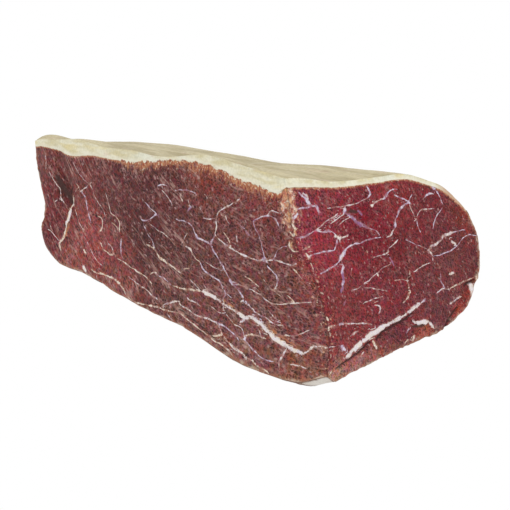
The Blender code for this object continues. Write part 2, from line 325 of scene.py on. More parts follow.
        (0.3, white, [(211, 306), (219, 312), (226, 313)]),
    ],
    "beside the corner": [
        (0.45, white, [(286.7, 208.2), (300, 209.3), (310.8, 207)]),
    ],
}

endVeins = {
    "upper left": [
        (0.45, lilac, [(298, 209), (310.8, 206.9)]),
        (0.95, lilac, [(299, 192.5), (302, 196), (305.5, 198)]),
        (0.8, white, [(303, 193), (307, 197)]),
        (0.9, lilac, [(304.5, 197), (308.5, 201.5), (312, 206.2)]),
        (0.6, lilac, [(312, 206.2), (317, 207), (318.3, 214)]),
        (1.0, lilac, [(298, 213.5), (294.5, 217.5), (293.5, 221)]),
        (0.25, white, [(326.9, 208.2), (343, 206.2), (355, 203.6), (365.8, 199)]),
        (0.45, lilac, [(365.8, 199), (369.8, 194.8), (367, 188.8), (364.4, 185.5)]),
        (1.0, lilac, [(344.5, 207.5), (344.2, 213)]),
        (0.75, purple, [(345, 213), (350.6, 217), (359.8, 224.8), (368, 228.5)]),
        (0.8, purple, [(360, 222.5), (366, 226)]),
        (0.35, lilac, [(368.4, 228.3), (375, 230.5), (379.2, 235)]),
        (0.6, purple, [(358, 211.5), (361.5, 214.5)]),
        (0.25, white, [(313.5, 231), (324.2, 223), (337.6, 213.6)]),
        (0.2, white, [(330, 224), (338, 218), (344, 214)]),
        (0.2, white, [(337, 227), (343, 221), (349, 218)]),
        (1.1, white, [(371.3, 205.4), (373.3, 204)]),
        (0.35, white, [(372, 204.8), (377.8, 201.5), (383, 200)]),
        (0.7, lilac, [(382.5, 200.3), (385.5, 199), (388.5, 194.2)]),
        (0.3, lilac, [(388.5, 194.2), (392, 192.4), (397.5, 193)]),
    ],
    "lobe by the corner": [
        (0.4, lilac, [(297, 238), (304, 236.4), (314.8, 231.2), (322.9, 231.7)]),
        (0.65, lilac, [(322.9, 231.7), (330, 231), (334, 233)]),
        (1.3, white, [(334.5, 234), (338, 238.5), (342, 238)]),
        (0.7, white, [(342, 238), (347.5, 235.3)]),
        (0.6, lilac, [(337.3, 239), (335.6, 245.8), (334.3, 250)]),
        (0.35, lilac, [(334.3, 250), (322.9, 252.5), (308.1, 256)]),
        (0.35, lilac, [(380.5, 237.4), (371, 239), (360.4, 243)]),
        (0.55, lilac, [(360.4, 243), (351, 245.8), (346, 249)]),
        (0.95, lilac, [(346.5, 249.5), (342, 256), (338.8, 262)]),
        (0.8, white, [(343, 254), (340.5, 260)]),
        (0.45, lilac, [(338, 263), (329.6, 268.5), (320.2, 274.2)]),
        (0.9, lilac, [(343.2, 266), (342.3, 272)]),
        (0.9, purple, [(342.3, 275.2), (343.2, 281)]),
        (1.0, lilac, [(343.4, 281.5), (342.4, 285)]),
        (0.8, purple, [(342.6, 287), (341, 291)]),
        (0.4, purple, [(345.3, 301), (344, 304.5)]),
    ],
    "middle": [
        (1.1, lilac, [(408.6, 204), (409.3, 206)]),
        (0.55, lilac, [(408.6, 205), (400.6, 211), (395.2, 220.3)]),
        (0.8, lilac, [(395.2, 220.3), (394, 229.7)]),
        (0.45, white, [(394, 229.7), (390, 236.4), (386, 237.8)]),
        (0.35, lilac, [(408.6, 205), (400.6, 201), (394, 197.5)]),
        (0.3, lilac, [(409, 204), (412, 198.9)]),
        (0.3, white, [(409, 207), (412, 214), (415, 219)]),
        (0.3, white, [(398, 240.4), (388.5, 248.4), (388, 252.5), (379.2, 255.8), (373.8, 257.3)]),
        (0.35, purple, [(390, 257.8), (392.5, 262), (394, 266)]),
        (0.2, white, [(357, 289), (366.9, 281.4), (381, 269.4), (390, 264)]),
        (0.2, white, [(351.6, 290.1), (363.6, 288), (374.5, 288.5), (387.6, 291.5)]),
        (0.2, white, [(362.5, 304.3), (372.3, 299.4), (383.2, 296)]),
        (0.4, white, [(374.5, 305.4), (379.9, 306.5), (378.8, 314)]),
        (0.2, white, [(412.7, 272.6), (421, 267), (430, 263)]),
        (0.2, white, [(394, 280.5), (402, 279.5), (409, 281)]),
        (0.2, white, [(352, 268), (351, 276), (355, 281)]),
    ],
    "right": [
        (0.9, lilac, [(432.8, 189.5), (434.5, 193)]),
        (0.4, lilac, [(434.5, 193), (438.1, 197), (442.2, 207)]),
        (0.25, lilac, [(442.2, 209), (435.5, 219), (433, 230)]),
        (0.3, white, [(434, 210.4), (420.7, 212.3), (416.7, 220.3), (414, 223.5)]),
        (0.3, lilac, [(417, 222), (418.4, 228), (420.5, 233)]),
        (0.35, lilac, [(464, 231), (453, 232.4)]),
        (0.7, white, [(453, 232.4), (443.5, 236.4), (438.5, 243), (429, 248)]),
        (1.0, white, [(451.5, 241.8), (454.5, 243.3)]),
        (0.3, white, [(419, 246), (426, 248.5)]),
        (0.6, white, [(426, 248.5), (431.4, 253.8), (432.8, 260)]),
        (0.25, lilac, [(433, 256.5), (447.5, 252.5), (457, 245.8), (465, 236.4), (475.7, 237)]),
        (0.8, white, [(449, 273.4), (452.5, 272.6)]),
        (0.5, purple, [(439.5, 271.2), (440, 280)]),
        (0.3, lilac, [(440, 280), (443.1, 286.5)]),
        (0.3, white, [(435.5, 293.4), (442, 288), (449, 288)]),
        (0.4, cream, [(449, 287), (455, 283), (461, 281.5)]),
        (0.5, cream, [(461, 280.6), (470.3, 277.6), (480, 275)]),
        (2.0, white, [(470, 284), (470.4, 290.5)]),
        (0.6, cream, [(476, 278), (476.5, 283)]),
        (0.45, white, [(459.5, 293.4), (454, 296.7), (447.5, 302)]),
        (0.7, lilac, [(474.5, 234), (478, 236)]),
        (0.4, lilac, [(424, 201), (428, 197), (433, 197)]),
        (0.2, lilac, [(405, 240), (412, 243), (419, 246)]),
    ],
    "lower seams": [
        (0.7, lilac, [(425.7, 297.8), (421.4, 302.1)]),
        (0.9, white, [(421.4, 302.1), (414.8, 307.6), (406.5, 313.8)]),
        (1.0, white, [(408, 313), (400, 317.8), (393.5, 321.3), (385, 325.9)]),
        (1.6, white, [(387, 324.8), (382, 327.4), (376, 331.5), (369, 336), (362, 341.8)]),
        (1.5, white, [(366, 338.3), (360, 343.6), (354, 349.5), (350, 353)]),
        (1.0, white, [(353.5, 350.2), (348.5, 355), (344, 359)]),
        (0.9, cream, [(373, 342), (375.8, 348)]),
        (1.3, white, [(412.5, 321.8), (417, 322.6), (422, 322.2)]),
        (1.7, white, [(416, 322.8), (421, 322.3), (427, 320.3)]),
        (0.7, white, [(412.5, 320.5), (415.9, 322.3)]),
        (0.9, white, [(430, 321), (433.3, 325)]),
        (0.5, cream, [(433.3, 325), (441, 327.4), (444, 326.6)]),
        (0.5, lilac, [(410.4, 327.2), (408, 330), (406, 333)]),
        (0.8, cream, [(414.5, 335), (413.5, 339)]),
        (0.8, cream, [(409.5, 339.5), (404, 343)]),
        (0.5, lilac, [(339.6, 323.9), (344, 323)]),
        (0.35, white, [(344, 323), (357, 324), (364, 323.3), (372.3, 324.5)]),
        (0.6, cream, [(326.5, 329.6), (330, 327), (334.2, 325.5)]),
        (0.45, white, [(329.5, 347.2), (336.3, 345.7)]),
        (1.0, lilac, [(341.3, 346.2), (344.8, 350)]),
        (0.5, white, [(350, 336), (354, 333), (358, 331)]),
        (0.3, cream, [(331, 371), (329, 375)]),
        (0.4, white, [(360, 356), (363.5, 352)]),
    ],
}

# Yellowish crumbs of fat along the corner between the cuts, and dots beside old seams
crumbs = [
    (1.5, tan, [(283, 188), (285.5, 190)]),
    (0.8, tan, [(284.4, 190.5), (286.5, 196), (288, 203), (288.8, 211)]),
    (1.0, tan, [(289.5, 199), (291, 204)]),
    (0.9, tan, [(289, 214), (290.5, 222)]),
    (0.8, cream, [(292, 224), (294.5, 229)]),
    (0.7, cream, [(291, 232), (293.5, 236)]),
    (0.5, tan, [(294, 231.5), (295.5, 235)]),
    (0.6, cream, [(291, 240), (289.9, 245), (293.1, 250.3), (298, 251.6)]),
    (0.5, tan, [(292.5, 241), (291.5, 245), (294.5, 249)]),
    (0.5, cream, [(298, 251.6), (303, 249.8), (309.3, 247)]),
    (0.75, cream, [(305.5, 253.5), (309, 257.6)]),
    (0.5, cream, [(310, 263), (312, 268), (313.5, 273)]),
    (0.5, cream, [(316, 279.5), (318, 282)]),
    (0.7, cream, [(319.5, 293), (322.3, 294.6)]),
    (0.4, cream, [(322, 305), (322.6, 306)]),
    (0.5, cream, [(326.8, 318), (328, 320)]),
    (0.5, cream, [(329, 333), (329.3, 336)]),
    (0.5, cream, [(330, 355), (330.4, 358)]),
    (0.45, cream, [(418, 252.5), (418.6, 253.6)]),
    (0.5, cream, [(408.3, 261.2), (408.3, 262.6)]),
    (0.45, cream, [(409.4, 271), (409.4, 274)]),
    (0.55, cream, [(407.2, 279.6), (407, 281)]),
    (0.45, cream, [(408, 284.5), (408.5, 287.5)]),
    (0.5, cream, [(409.4, 291), (408, 297.5)]),
    (0.5, cream, [(407.2, 298), (402.8, 302.2)]),
    (0.5, cream, [(377.5, 275), (378, 276)]),
    (0.4, cream, [(366, 251.5), (367, 252)]),
]

# Grooves between the muscles, as (half width in mm, depth in mm, points). Their floors are darkened with painted
# shade
grooves = {
    "long cut": [
        (2.6, 1.1, [(55, 176), (60, 184), (65.5, 192), (70, 199), (72, 203)]),
        (0.7, 0.5, [(76, 214), (80, 232)]),
        (0.6, 0.4, [(178, 306), (196, 320), (215, 338)]),
        (0.5, 0.4, [(291, 223), (294, 231)]),
    ],
    "end cut": [
        (0.55, 1.3, [(413, 312.5), (407, 318), (397, 323.3), (388, 328.9), (381, 333.8), (376.5, 341)]),
        (0.55, 1.4, [(371, 341.5), (365.5, 346.3), (357, 354), (348, 360.5), (336, 368)]),
        (0.7, 1.6, [(443.5, 324), (449.5, 312), (456.2, 303.5)]),
        (0.7, 1.4, [(463, 283.5), (468, 281), (474, 280)]),
        (0.7, 1.4, [(473.5, 284), (474, 291), (471, 293)]),
        (0.9, 0.5, [(412, 325.8), (418, 325.8), (425, 324)]),
        (1.1, 0.4, [(351, 210.5), (356, 212.5)]),
        (0.4, 0.5, [(408, 264), (408.5, 270)]),
        (0.4, 0.5, [(408.4, 276), (408.2, 278)]),
        (0.4, 0.5, [(407.4, 288.5), (407.8, 290)]),
    ],
}

# How the flesh is coloured, as (point in the photograph, radius in mm, colour)
fleshTones = {
    "long cut": [
        ((90, 165), 16, (0.17, 0.052, 0.048)),
        ((115, 182), 20, (0.118, 0.048, 0.046)),
        # darkest in the left furrow: the flesh's own dark brown together with painted shade
        ((62, 188), 7, (0.075, 0.034, 0.030)),
        ((50, 195), 9, (0.17, 0.046, 0.047)),
        ((160, 190), 22, (0.110, 0.044, 0.043)),
        ((205, 175), 13, (0.22, 0.070, 0.048)),
        ((215, 200), 16, (0.165, 0.060, 0.054)),
        ((260, 195), 14, (0.20, 0.060, 0.056)),
        ((55, 228), 14, (0.155, 0.044, 0.046)),
        ((92, 232), 15, (0.31, 0.082, 0.076)),
        ((120, 262), 14, (0.24, 0.074, 0.070)),
        ((150, 240), 18, (0.088, 0.041, 0.038)),
        ((205, 245), 20, (0.135, 0.062, 0.056)),
        ((255, 245), 16, (0.155, 0.062, 0.060)),
        ((120, 283), 10, (0.25, 0.095, 0.082)),
        ((175, 285), 16, (0.16, 0.075, 0.066)),
        ((215, 320), 16, (0.19, 0.085, 0.080)),
        ((270, 300), 16, (0.165, 0.075, 0.066)),
        ((300, 318), 12, (0.20, 0.070, 0.070)),
        ((312, 275), 8, (0.26, 0.075, 0.070)),
        ((250, 350), 12, (0.21, 0.095, 0.085)),
        ((300, 372), 9, (0.25, 0.105, 0.070)),
        ((70, 256), 11, (0.29, 0.094, 0.086)),
    ],
    "end cut": [
        ((305, 215), 12, (0.25, 0.060, 0.082)),
        ((330, 200), 12, (0.25, 0.058, 0.068)),
        ((318, 243), 8, (0.29, 0.058, 0.074)),
        ((330, 258), 10, (0.28, 0.050, 0.066)),
        ((362, 215), 12, (0.170, 0.032, 0.043)),
        ((400, 190), 12, (0.22, 0.048, 0.050)),
        ((425, 205), 12, (0.165, 0.042, 0.046)),
        ((460, 215), 9, (0.19, 0.055, 0.042)),
        ((375, 245), 12, (0.185, 0.034, 0.044)),
        ((395, 262), 10, (0.150, 0.044, 0.046)),
        ((445, 225), 12, (0.15, 0.046, 0.056)),
        ((450, 255), 12, (0.15, 0.060, 0.058)),
        ((472, 262), 6, (0.11, 0.046, 0.050)),
        ((425, 280), 12, (0.16, 0.055, 0.060)),
        ((380, 295), 16, (0.20, 0.052, 0.062)),
        ((345, 300), 10, (0.21, 0.055, 0.056)),
        ((355, 325), 10, (0.23, 0.056, 0.058)),
        ((440, 305), 9, (0.13, 0.055, 0.062)),
        ((457, 310), 3.5, (0.38, 0.085, 0.060)),
        ((380, 195), 8, (0.26, 0.056, 0.062)),
        ((375, 356), 4, (0.34, 0.140, 0.120)),
        ((465, 296), 4, (0.21, 0.050, 0.040)),
        ((392, 335), 8, (0.115, 0.052, 0.060)),
        ((355, 366), 6, (0.36, 0.155, 0.150)),
        ((425, 332), 4, (0.35, 0.110, 0.070)),
        ((390, 349), 5, (0.33, 0.120, 0.095)),
        ((340, 374), 5, (0.42, 0.230, 0.180)),
    ],
}


def smoothLine(points, step):

    line = []
    for i in range(len(points) - 1):
        a, b = points[i], points[i + 1]
        before, after = points[max(i - 1, 0)], points[min(i + 2, len(points) - 1)]
        count = max(int((b - a).length / step), 1)
        for k in range(count):
            t = k / count
            line.append(
                0.5 * (2 * a + (b - before) * t + (2 * before - 5 * a + 4 * b - after) * t * t
                       + (3 * a - before - 3 * b + after) * t ** 3)
            )
    line.append(points[-1])
    return line


# The traced lines are carried onto the tissue itself, along the camera's rays
trees = [BVHTree.FromBMesh(bm) for piece, bm in tissues.values()]
lineValues = {
    "step": 0.0005,
    "sway": (0.0035, 0.00045),  # size and reach of the wander that a listed line lacks
    "taper": 0.0025,
    "shortest": 0.004,  # a line shorter than this is a spot, and keeps its width
    "nearCut": 0.009,
}


def onCut(pixel, cut):
    start, ray = Vector(photoView["place"]), pixelRay(pixel)
    flat = start + ray * ((cut["point"] - start).dot(cut["normal"]) / ray.dot(cut["normal"]))
    hits = [hit for hit in (tree.ray_cast(start, ray) for tree in trees) if hit[0] is not None]
    hits = [hit[0] for hit in hits if (hit[0] - flat).length < lineValues["nearCut"]]
    return min(hits, key=lambda point: (point - start).length, default=flat)


def layLines(lines, cut):
    size, reach = lineValues["sway"]
    laid = []
    for halfWidth, tint, pixels in lines:
        route = smoothLine([onCut(pixel, cut) for pixel in pixels], lineValues["step"])
        length = sum((b - a).length for a, b in zip(route, route[1:]))
        swayed = []
        for k, point in enumerate(route):
            sway = noise.noise_vector(point / size) * reach
            width = halfWidth / 1000
            if length > lineValues["shortest"]:
                fromEnd = min(k, len(route) - 1 - k) * lineValues["step"]
                width *= 0.45 + 0.55 * ramp(fromEnd, 0, lineValues["taper"])
            swayed.append((point + sway - cut["normal"] * sway.dot(cut["normal"]), width))
        laid.append((tint, swayed))
    return laid


def makeFinder(laid):
    tree = KDTree(sum(len(route) for tint, route in laid))
    places = []
    for number, (tint, route) in enumerate(laid):
        for k, (point, width) in enumerate(route):
            tree.insert(point, len(places))
            places.append((number, k))
    tree.balance()
    return {"tree": tree, "places": places, "laid": laid}


def findLine(finder, point):

    here, index, gap = finder["tree"].find(point)
    number, k = finder["places"][index]
    tint, route = finder["laid"][number]
    width = route[k][1]
    for other in (k - 1, k + 1):
        if 0 <= other < len(route):
            a, b = route[k][0], route[other][0]
            share = min(max((point - a).dot(b - a) / max((b - a).length_squared, 1e-12), 0), 1)
            if (point - a.lerp(b, share)).length < gap:
                here = a.lerp(b, share)
                gap = (point - here).length
    return here - point, gap, width, tint


def gather(groups):
    return [line for group in groups.values() for line in group]


crumbLines = layLines(crumbs, endCut)
lineFinders = {
    longCut["face"]: makeFinder(layLines(gather(veins), longCut) + crumbLines),
    endCut["face"]: makeFinder(layLines(gather(endVeins), endCut) + crumbLines),
}
crumbFinder = makeFinder(crumbLines)
grooveFinders = {
    longCut["face"]: makeFinder(layLines(grooves["long cut"], longCut)),
    endCut["face"]: makeFinder(layLines(grooves["end cut"], endCut)),
}
toneSpots = {
    cut["face"]: [(onCut(pixel, cut), radius / 1000, Vector(colour)) for pixel, radius, colour in fleshTones[name]]
    for name, cut in (("long cut", longCut), ("end cut", endCut))
}
# For the light and the sheen that come on top of a tone
toneShare = 0.70
toneHaze = {longCut["face"]: Vector((0.006, 0.019, 0.017)), endCut["face"]: Vector((0.0, 0.022, 0.021))}
baseTones = {longCut["face"]: Vector((0.17, 0.062, 0.056)), endCut["face"]: Vector((0.195, 0.050, 0.055))}
print("traced", sum(len(f["laid"]) for f in lineFinders.values()), "lines")


def rimFinder(bm, isRim):

    points = [v.co for v in bm.verts if isRim({f.material_index for f in v.link_faces})]
    points += [
        (e.verts[0].co + e.verts[1].co) / 2
        for e in bm.edges
        if isRim({f.material_index for f in e.link_faces})
    ]
    tree = KDTree(len(points))
    for i, point in enumerate(points):
        tree.insert(point, i)
    tree.balance()
    return tree


# Relief in mm, as (size, height)
reliefValues = {
    "cutWave": (12, 0.30),
    "cutGrain": (1.8, 0.17),
    "veinRise": 0.14,
    "crumbRise": 0.5,
    "cornerJag": (2.4, 0.7, 2.2),  # size, height, and how far from the corner it reaches
    "crustLump": (16, 0.5),
    "crustFold": (5.5, 0.55),
    "crustPit": (2.2, 0.12),
    "fatSwell": (14, 0.35),
    "fatDimple": (4, 0.12),
    "floorClear": 0.010,
}


def fibrePlace(point, region):

    if region == longCut["face"]:
        across = Vector((point.x - 0.12, 0, point.z - 0.25))
        return Vector((math.atan2(across.z, across.x) * 0.25, across.length, point.y))
    if region == endCut["face"]:
        return Vector((point.y * 2.2, point.z + 0.3 * point.y, point.x))
    return Vector((point.x, point.z, point.y))


def outward(point):

    lowest, highest = cadBox
    middle, half = (lowest + highest) / 2, (highest - lowest) / 2
    share = Vector((point[i] - middle[i]) / half[i] for i in range(3))
    return Vector(share[i] ** 3 / half[i] for i in range(3)).normalized()


def roughness(point, size, height, layer, stretch=1.0):
    place = Vector((point[0] / stretch, point[1], point[2])) * (1000 / size) + Vector((0, 0, layer * 7.3))
    return noise.noise(place) * height / 1000


def cutRelief(point, fibre, facts, hollow):
    shift, gap, width, tint = facts
    wave = roughness(point, *reliefValues["cutWave"], 1)
    grain = roughness(fibre, *reliefValues["cutGrain"], 2, 3.5)
    rise = reliefValues["veinRise"] / 1000 * (1 - ramp(gap, width * 0.6, width * 1.3 + 0.0004))
    return wave + grain + rise - hollow


def crustRelief(point):
    fold = 1 - abs(roughness(point, *reliefValues["crustFold"], 4, 3.0) * 2000 / reliefValues["crustFold"][1])
    size, height = reliefValues["crustFold"]
    lump = roughness(point, *reliefValues["crustLump"], 3)
    pit = roughness(point, *reliefValues["crustPit"], 5)
    return lump + pit + (fold - 0.7) * height / 1000


# Where the block is a little fuller than its solids: (point in the photograph, cut, reach in mm, move in mm)
swellings = [
    ((403, 184), endCut, (75, 19, 18), (0, 0, 2.3)),
    ((60, 259), longCut, (16, 30, 12), (-0.8, 0, -2.4)),
    ((264, 370), longCut, (31, 16, 9), (0, -0.6, -4.4)),
    ((146, 304), longCut, (40, 16, 9), (0, -0.3, -2.6)),
    ((462, 303), endCut, (20, 17, 13), (0, 2.4, -2.2)),
    ((443, 325), endCut, (20, 12, 9), (0, 0.8, -2.2)),
    ((440, 187), endCut, (30, 9, 12), (0, 0.4, 1.4)),
    ((469, 216), endCut, (30, 12, 15), (0, 1.7, 0.8)),
    ((80, 144), longCut, (30, 60, 8), (0, 0, 2.2)),
]
swellings = [
    (onCut(pixel, cut), Vector([1000 / x for x in reach]), Vector(move) / 1000)
    for pixel, cut, reach, move in swellings
]


def swelling(point):
    total = Vector()
    for middle, scale, move in swellings:
        total += move * bell(((point - middle) * scale).length, 1.0)
    return total


def fatRelief(point):
    return roughness(point, *reliefValues["fatSwell"], 6, 2.0) + roughness(point, *reliefValues["fatDimple"], 7, 1.5)


# Spots on the outside, just below the long cut, as (point in the photograph, radius in mm, colour)
crustBase = Vector((0.10, 0.036, 0.026))
crustSpots = [
    (onCut(pixel, longCut), radius / 1000, Vector(colour))
    for pixel, radius, colour in (
        ((306, 378), 3.5, (0.62, 0.56, 0.48)),
        ((316, 380), 4.5, (0.70, 0.66, 0.60)),
        ((327, 380), 4.5, (0.66, 0.62, 0.56)),
        ((337, 379), 3.5, (0.58, 0.48, 0.40)),
        ((84, 268), 2.2, (0.52, 0.38, 0.30)),
        ((190, 333), 4.0, (0.34, 0.22, 0.15)),
        ((240, 362), 5.0, (0.34, 0.20, 0.13)),
        ((365, 368), 4.0, (0.52, 0.38, 0.31)),
        ((395, 352), 4.0, (0.50, 0.34, 0.27)),
    )
]

# Across the block, where the fat thins out to a film over the shoulder
filmStart, filmEnd = (onCut(pixel, endCut).y for pixel in ((431, 183.5), (447, 190)))
frayStart, frayEnd = (onCut(pixel, longCut).x for pixel in ((108, 162), (135, 166)))
crumbleLow, crumbleHigh = (onCut(pixel, endCut).z for pixel in ((294, 243), (291, 218)))


def tissueTone(point, region):
    total, colour = 0.12, baseTones[region] * 0.12
    for place, radius, tone in toneSpots[region]:
        weight = bell((point - place).length, radius)
        total += weight
        colour = colour + tone * weight
    return colour / total * toneShare - toneHaze[region]


def outsideTone(point):
    total, colour = 0.1, crustBase * 0.1
    for place, radius, tone in crustSpots:
        weight = bell((point - place).length, radius)
        total += weight
        colour = colour + tone * weight
    return (*(colour / total), min((total - 0.1) * 2.5, 1.0))


def dressTissue(name, side):

    piece, bm = tissues[name]
    cuts = {longCut["face"]: longCut, endCut["face"]: endCut}
    if side < 0:  # the lean's rim is brought up to the fat
        for vertex in bm.verts:
            kinds = {f.material_index for f in vertex.link_faces}
            if joinFace in kinds and len(kinds) > 1:
                near = trees[1].find_nearest(vertex.co)
                if near[3] < shapeValues["snapReach"]:
                    vertex.co = near[0]
    seam = rimFinder(bm, lambda kinds: joinFace in kinds and len(kinds) > 1)
    outline = rimFinder(bm, lambda kinds: outsideFace in kinds and kinds & set(cuts))
    corner = rimFinder(bm, lambda kinds: kinds >= set(cuts))
    data = {key: [] for key in ("lineShift", "lineFacts", "fibrePlace", "edgeFacts", "marks", "fleshTone")}
    moves = []
    for vertex in bm.verts:
        point = vertex.co.copy()
        kinds = {f.material_index for f in vertex.link_faces}
        here = [face for face in cuts if face in kinds]
        seamGap = seam.find(point)[2] * side
        outlineGap = outline.find(point)[2]
        cornerGap = corner.find(point)[2]
        region = here[0] if here else outsideFace
        fibre = fibrePlace(point, region)
        move, facts, hollow, tone = Vector(), (Vector((1, 1, 1)), 1.0, 0.0, 0.0), 0.0, (*crustBase, 0.0)
        for face in here:
            found = findLine(lineFinders[face], point)
            if found[1] < facts[1]:
                facts = found
            groove = findLine(grooveFinders[face], point)
            # painted shade: how dark the groove floor is painted, carried in the marks attribute
            hollow = max(hollow, bell(groove[1], groove[2] * 0.8))
            dip = groove[3] / 1000 * bell(groove[1], groove[2])
            move += cuts[face]["normal"] * cutRelief(point, fibre, found, dip) / len(here)
        if here:
            tone = (*(sum((tissueTone(point, face) for face in here), Vector()) / len(here)), 0.0)
            crumb = findLine(crumbFinder, point)
            rise = reliefValues["crumbRise"] / 1000 * (1 - ramp(crumb[1], crumb[2] * 0.5, crumb[2] * 1.6))
            size, height, reach = reliefValues["cornerJag"]
            rise += roughness(point, size, height, 8) * bell(cornerGap * 1000, reach)
            for face in here:
                move += cuts[face]["normal"] * rise / len(here)
        if side > 0:
            thickness = trees[0].find_nearest(point)[3]
            film = 0 if here else 1 - ramp(thickness, 0.001, 0.0035)
            hollow = -max(ramp(point.y, filmStart, filmEnd), film)
        if kinds <= {outsideFace, joinFace}:
            tone = outsideTone(point)
        if outsideFace in kinds:
            surface = fatRelief(point) if seamGap > 0.0012 else crustRelief(point)
            # thin fat stays on top of the lean
            surface *= ramp(trees[0 if side > 0 else 1].find_nearest(point)[3], 0.0006, 0.003)
            move += outward(point) * surface * ramp(point.z, 0.0005, reliefValues["floorClear"])
            if side > 0 and not here:
                thin = 1 - ramp(trees[0].find_nearest(point)[3], 0.0006, 0.0025)
                move += outward(point) * 0.0005 * thin
                if joinFace in kinds:
                    move.z -= 0.0004
        if side < 0 and kinds == {joinFace}:
            move -= vertex.normal * 0.0008 * ramp(-seamGap, 0.0004, 0.003)
        move += swelling(point)
        moves.append(move)
        data["lineShift"].append(facts[0])
        data["lineFacts"].append(Vector((facts[1], facts[2], facts[3])))
        data["fibrePlace"].append(fibre)
        data["edgeFacts"].append(Vector((seamGap, outlineGap, cornerGap)))
        fray = 0.1 + 0.9 * ramp(point.x, frayStart, frayEnd) if longCut["face"] in kinds else 0.12
        pale = 1.0 if longCut["face"] in kinds else 0.55
        # the middle mark is the painted groove shade on the cuts; on the fat, negative, it is the share of dry film
        data["marks"].append(Vector((fray, hollow, pale)))
        data["fleshTone"].append(tone)
    for vertex, move in zip(bm.verts, moves):
        vertex.co += move
        vertex.co.z = max(vertex.co.z, 0.0)
    bm.to_mesh(piece.data)
    bm.free()
    for key, values in data.items():
        colour = key == "fleshTone"
        kind = "FLOAT_COLOR" if colour else "FLOAT_VECTOR"
        attribute = piece.data.attributes.new(key, kind, "POINT")
        flat = [x for value in values for x in value]
        attribute.data.foreach_set("color" if colour else "vector", flat)
    piece.data.shade_smooth()
    print("dressed", name)


dressTissue("leanBlock", -1)
dressTissue("fatCap", 1)


# Shader helpers
def put(tree, kind, links=None, **settings):
    node = tree.nodes.new("ShaderNode" + kind)
    for name, value in settings.items():
        setattr(node, name, value)
    for socket, source in (links or {}).items():
        if isinstance(source, bpy.types.NodeSocket):
            tree.links.new(source, node.inputs[socket])
        else:
            node.inputs[socket].default_value = source
    return node


def calc(tree, operation, *values):
    return put(tree, "Math", dict(enumerate(values)), operation=operation).outputs[0]


def fade(tree, value, low, high, start=0.0, end=1.0):
    links = {"Value": value, "From Min": low, "From Max": high, "To Min": start, "To Max": end}
    return put(tree, "MapRange", links, interpolation_type="SMOOTHSTEP").outputs["Result"]


def blend(tree, share, first, second, mode="MIX"):
    return put(tree, "Mix", {0: share, 6: first, 7: second}, data_type="RGBA", blend_type=mode).outputs[2]


def stretched(tree, place, factors):
    return put(tree, "VectorMath", {0: place, 1: factors}, operation="MULTIPLY").outputs[0]


def cloud(tree, place, size, detail=2.0, rough=0.55):

    links = {"Vector": place, "Scale": 1000 / size, "Detail": detail, "Roughness": rough}
    return put(tree, "TexNoise", links).outputs[0]


def newGroup(name, inputs, outputs):
    group = bpy.data.node_groups.new(name, "ShaderNodeTree")
    for way, sockets in (("INPUT", inputs), ("OUTPUT", outputs)):
        for label, kind in sockets.items():
            group.interface.new_socket(label, in_out=way, socket_type="NodeSocket" + kind)
    return group, group.nodes.new("NodeGroupInput").outputs, group.nodes.new("NodeGroupOutput")


def useGroup(tree, group, links):
    return put(tree, "Group", links, node_tree=group).outputs


def finishGroup(group, end, results):
    for label, source in results.items():
        group.links.new(source, end.inputs[label])
    return group


def squeezed(group, given):
    along = calc(group, "DIVIDE", 1.0, given["Stretch"])
    squeeze = put(group, "CombineXYZ", {0: along, 1: 1.0, 2: 1.0}).outputs[0]
    scale = calc(group, "DIVIDE", 1000.0, given["Size"])
    place = stretched(group, given["Place"], squeeze)
    return put(group, "VectorMath", {0: place, "Scale": scale}, operation="SCALE").outputs[0]


def makeStreaks():
    inputs = {"Place": "Vector", "Size": "Float", "Stretch": "Float"}
    group, given, end = newGroup("muscleStreaks", inputs, {"Streak": "Float"})
    links = {"Vector": squeezed(group, given), "Scale": 1.0, "Detail": 2.5, "Roughness": 0.6, "Distortion": 0.4}
    grain = put(group, "TexNoise", links).outputs[0]
    return finishGroup(group, end, {"Streak": fade(group, grain, 0.32, 0.68)})


def makeBundles():
    inputs = {"Place": "Vector", "Size": "Float", "Stretch": "Float", "Wander": "Float"}
    outputs = {"Edge": "Float", "Core": "Float", "Bundle": "Float", "Other": "Float"}
    group, given, end = newGroup("muscleBundles", inputs, outputs)
    place = squeezed(group, given)
    drift = put(group, "TexNoise", {"Vector": place, "Scale": 0.8, "Detail": 2.0}).outputs["Color"]
    centred = put(group, "VectorMath", {0: drift, 1: (-0.5, -0.5, -0.5)}, operation="ADD").outputs[0]
    wander = put(group, "VectorMath", {0: centred, "Scale": given["Wander"]}, operation="SCALE").outputs[0]
    moved = put(group, "VectorMath", {0: place, 1: wander}, operation="ADD").outputs[0]
    edge = put(group, "TexVoronoi", {"Vector": moved, "Scale": 1.0}, feature="DISTANCE_TO_EDGE").outputs["Distance"]
    cell = put(group, "TexVoronoi", {"Vector": moved, "Scale": 1.0}).outputs
    chance = put(group, "SeparateColor", {0: cell["Color"]}).outputs
    results = {"Edge": edge, "Core": cell["Distance"], "Bundle": chance[0], "Other": chance[1]}
    return finishGroup(group, end, results)


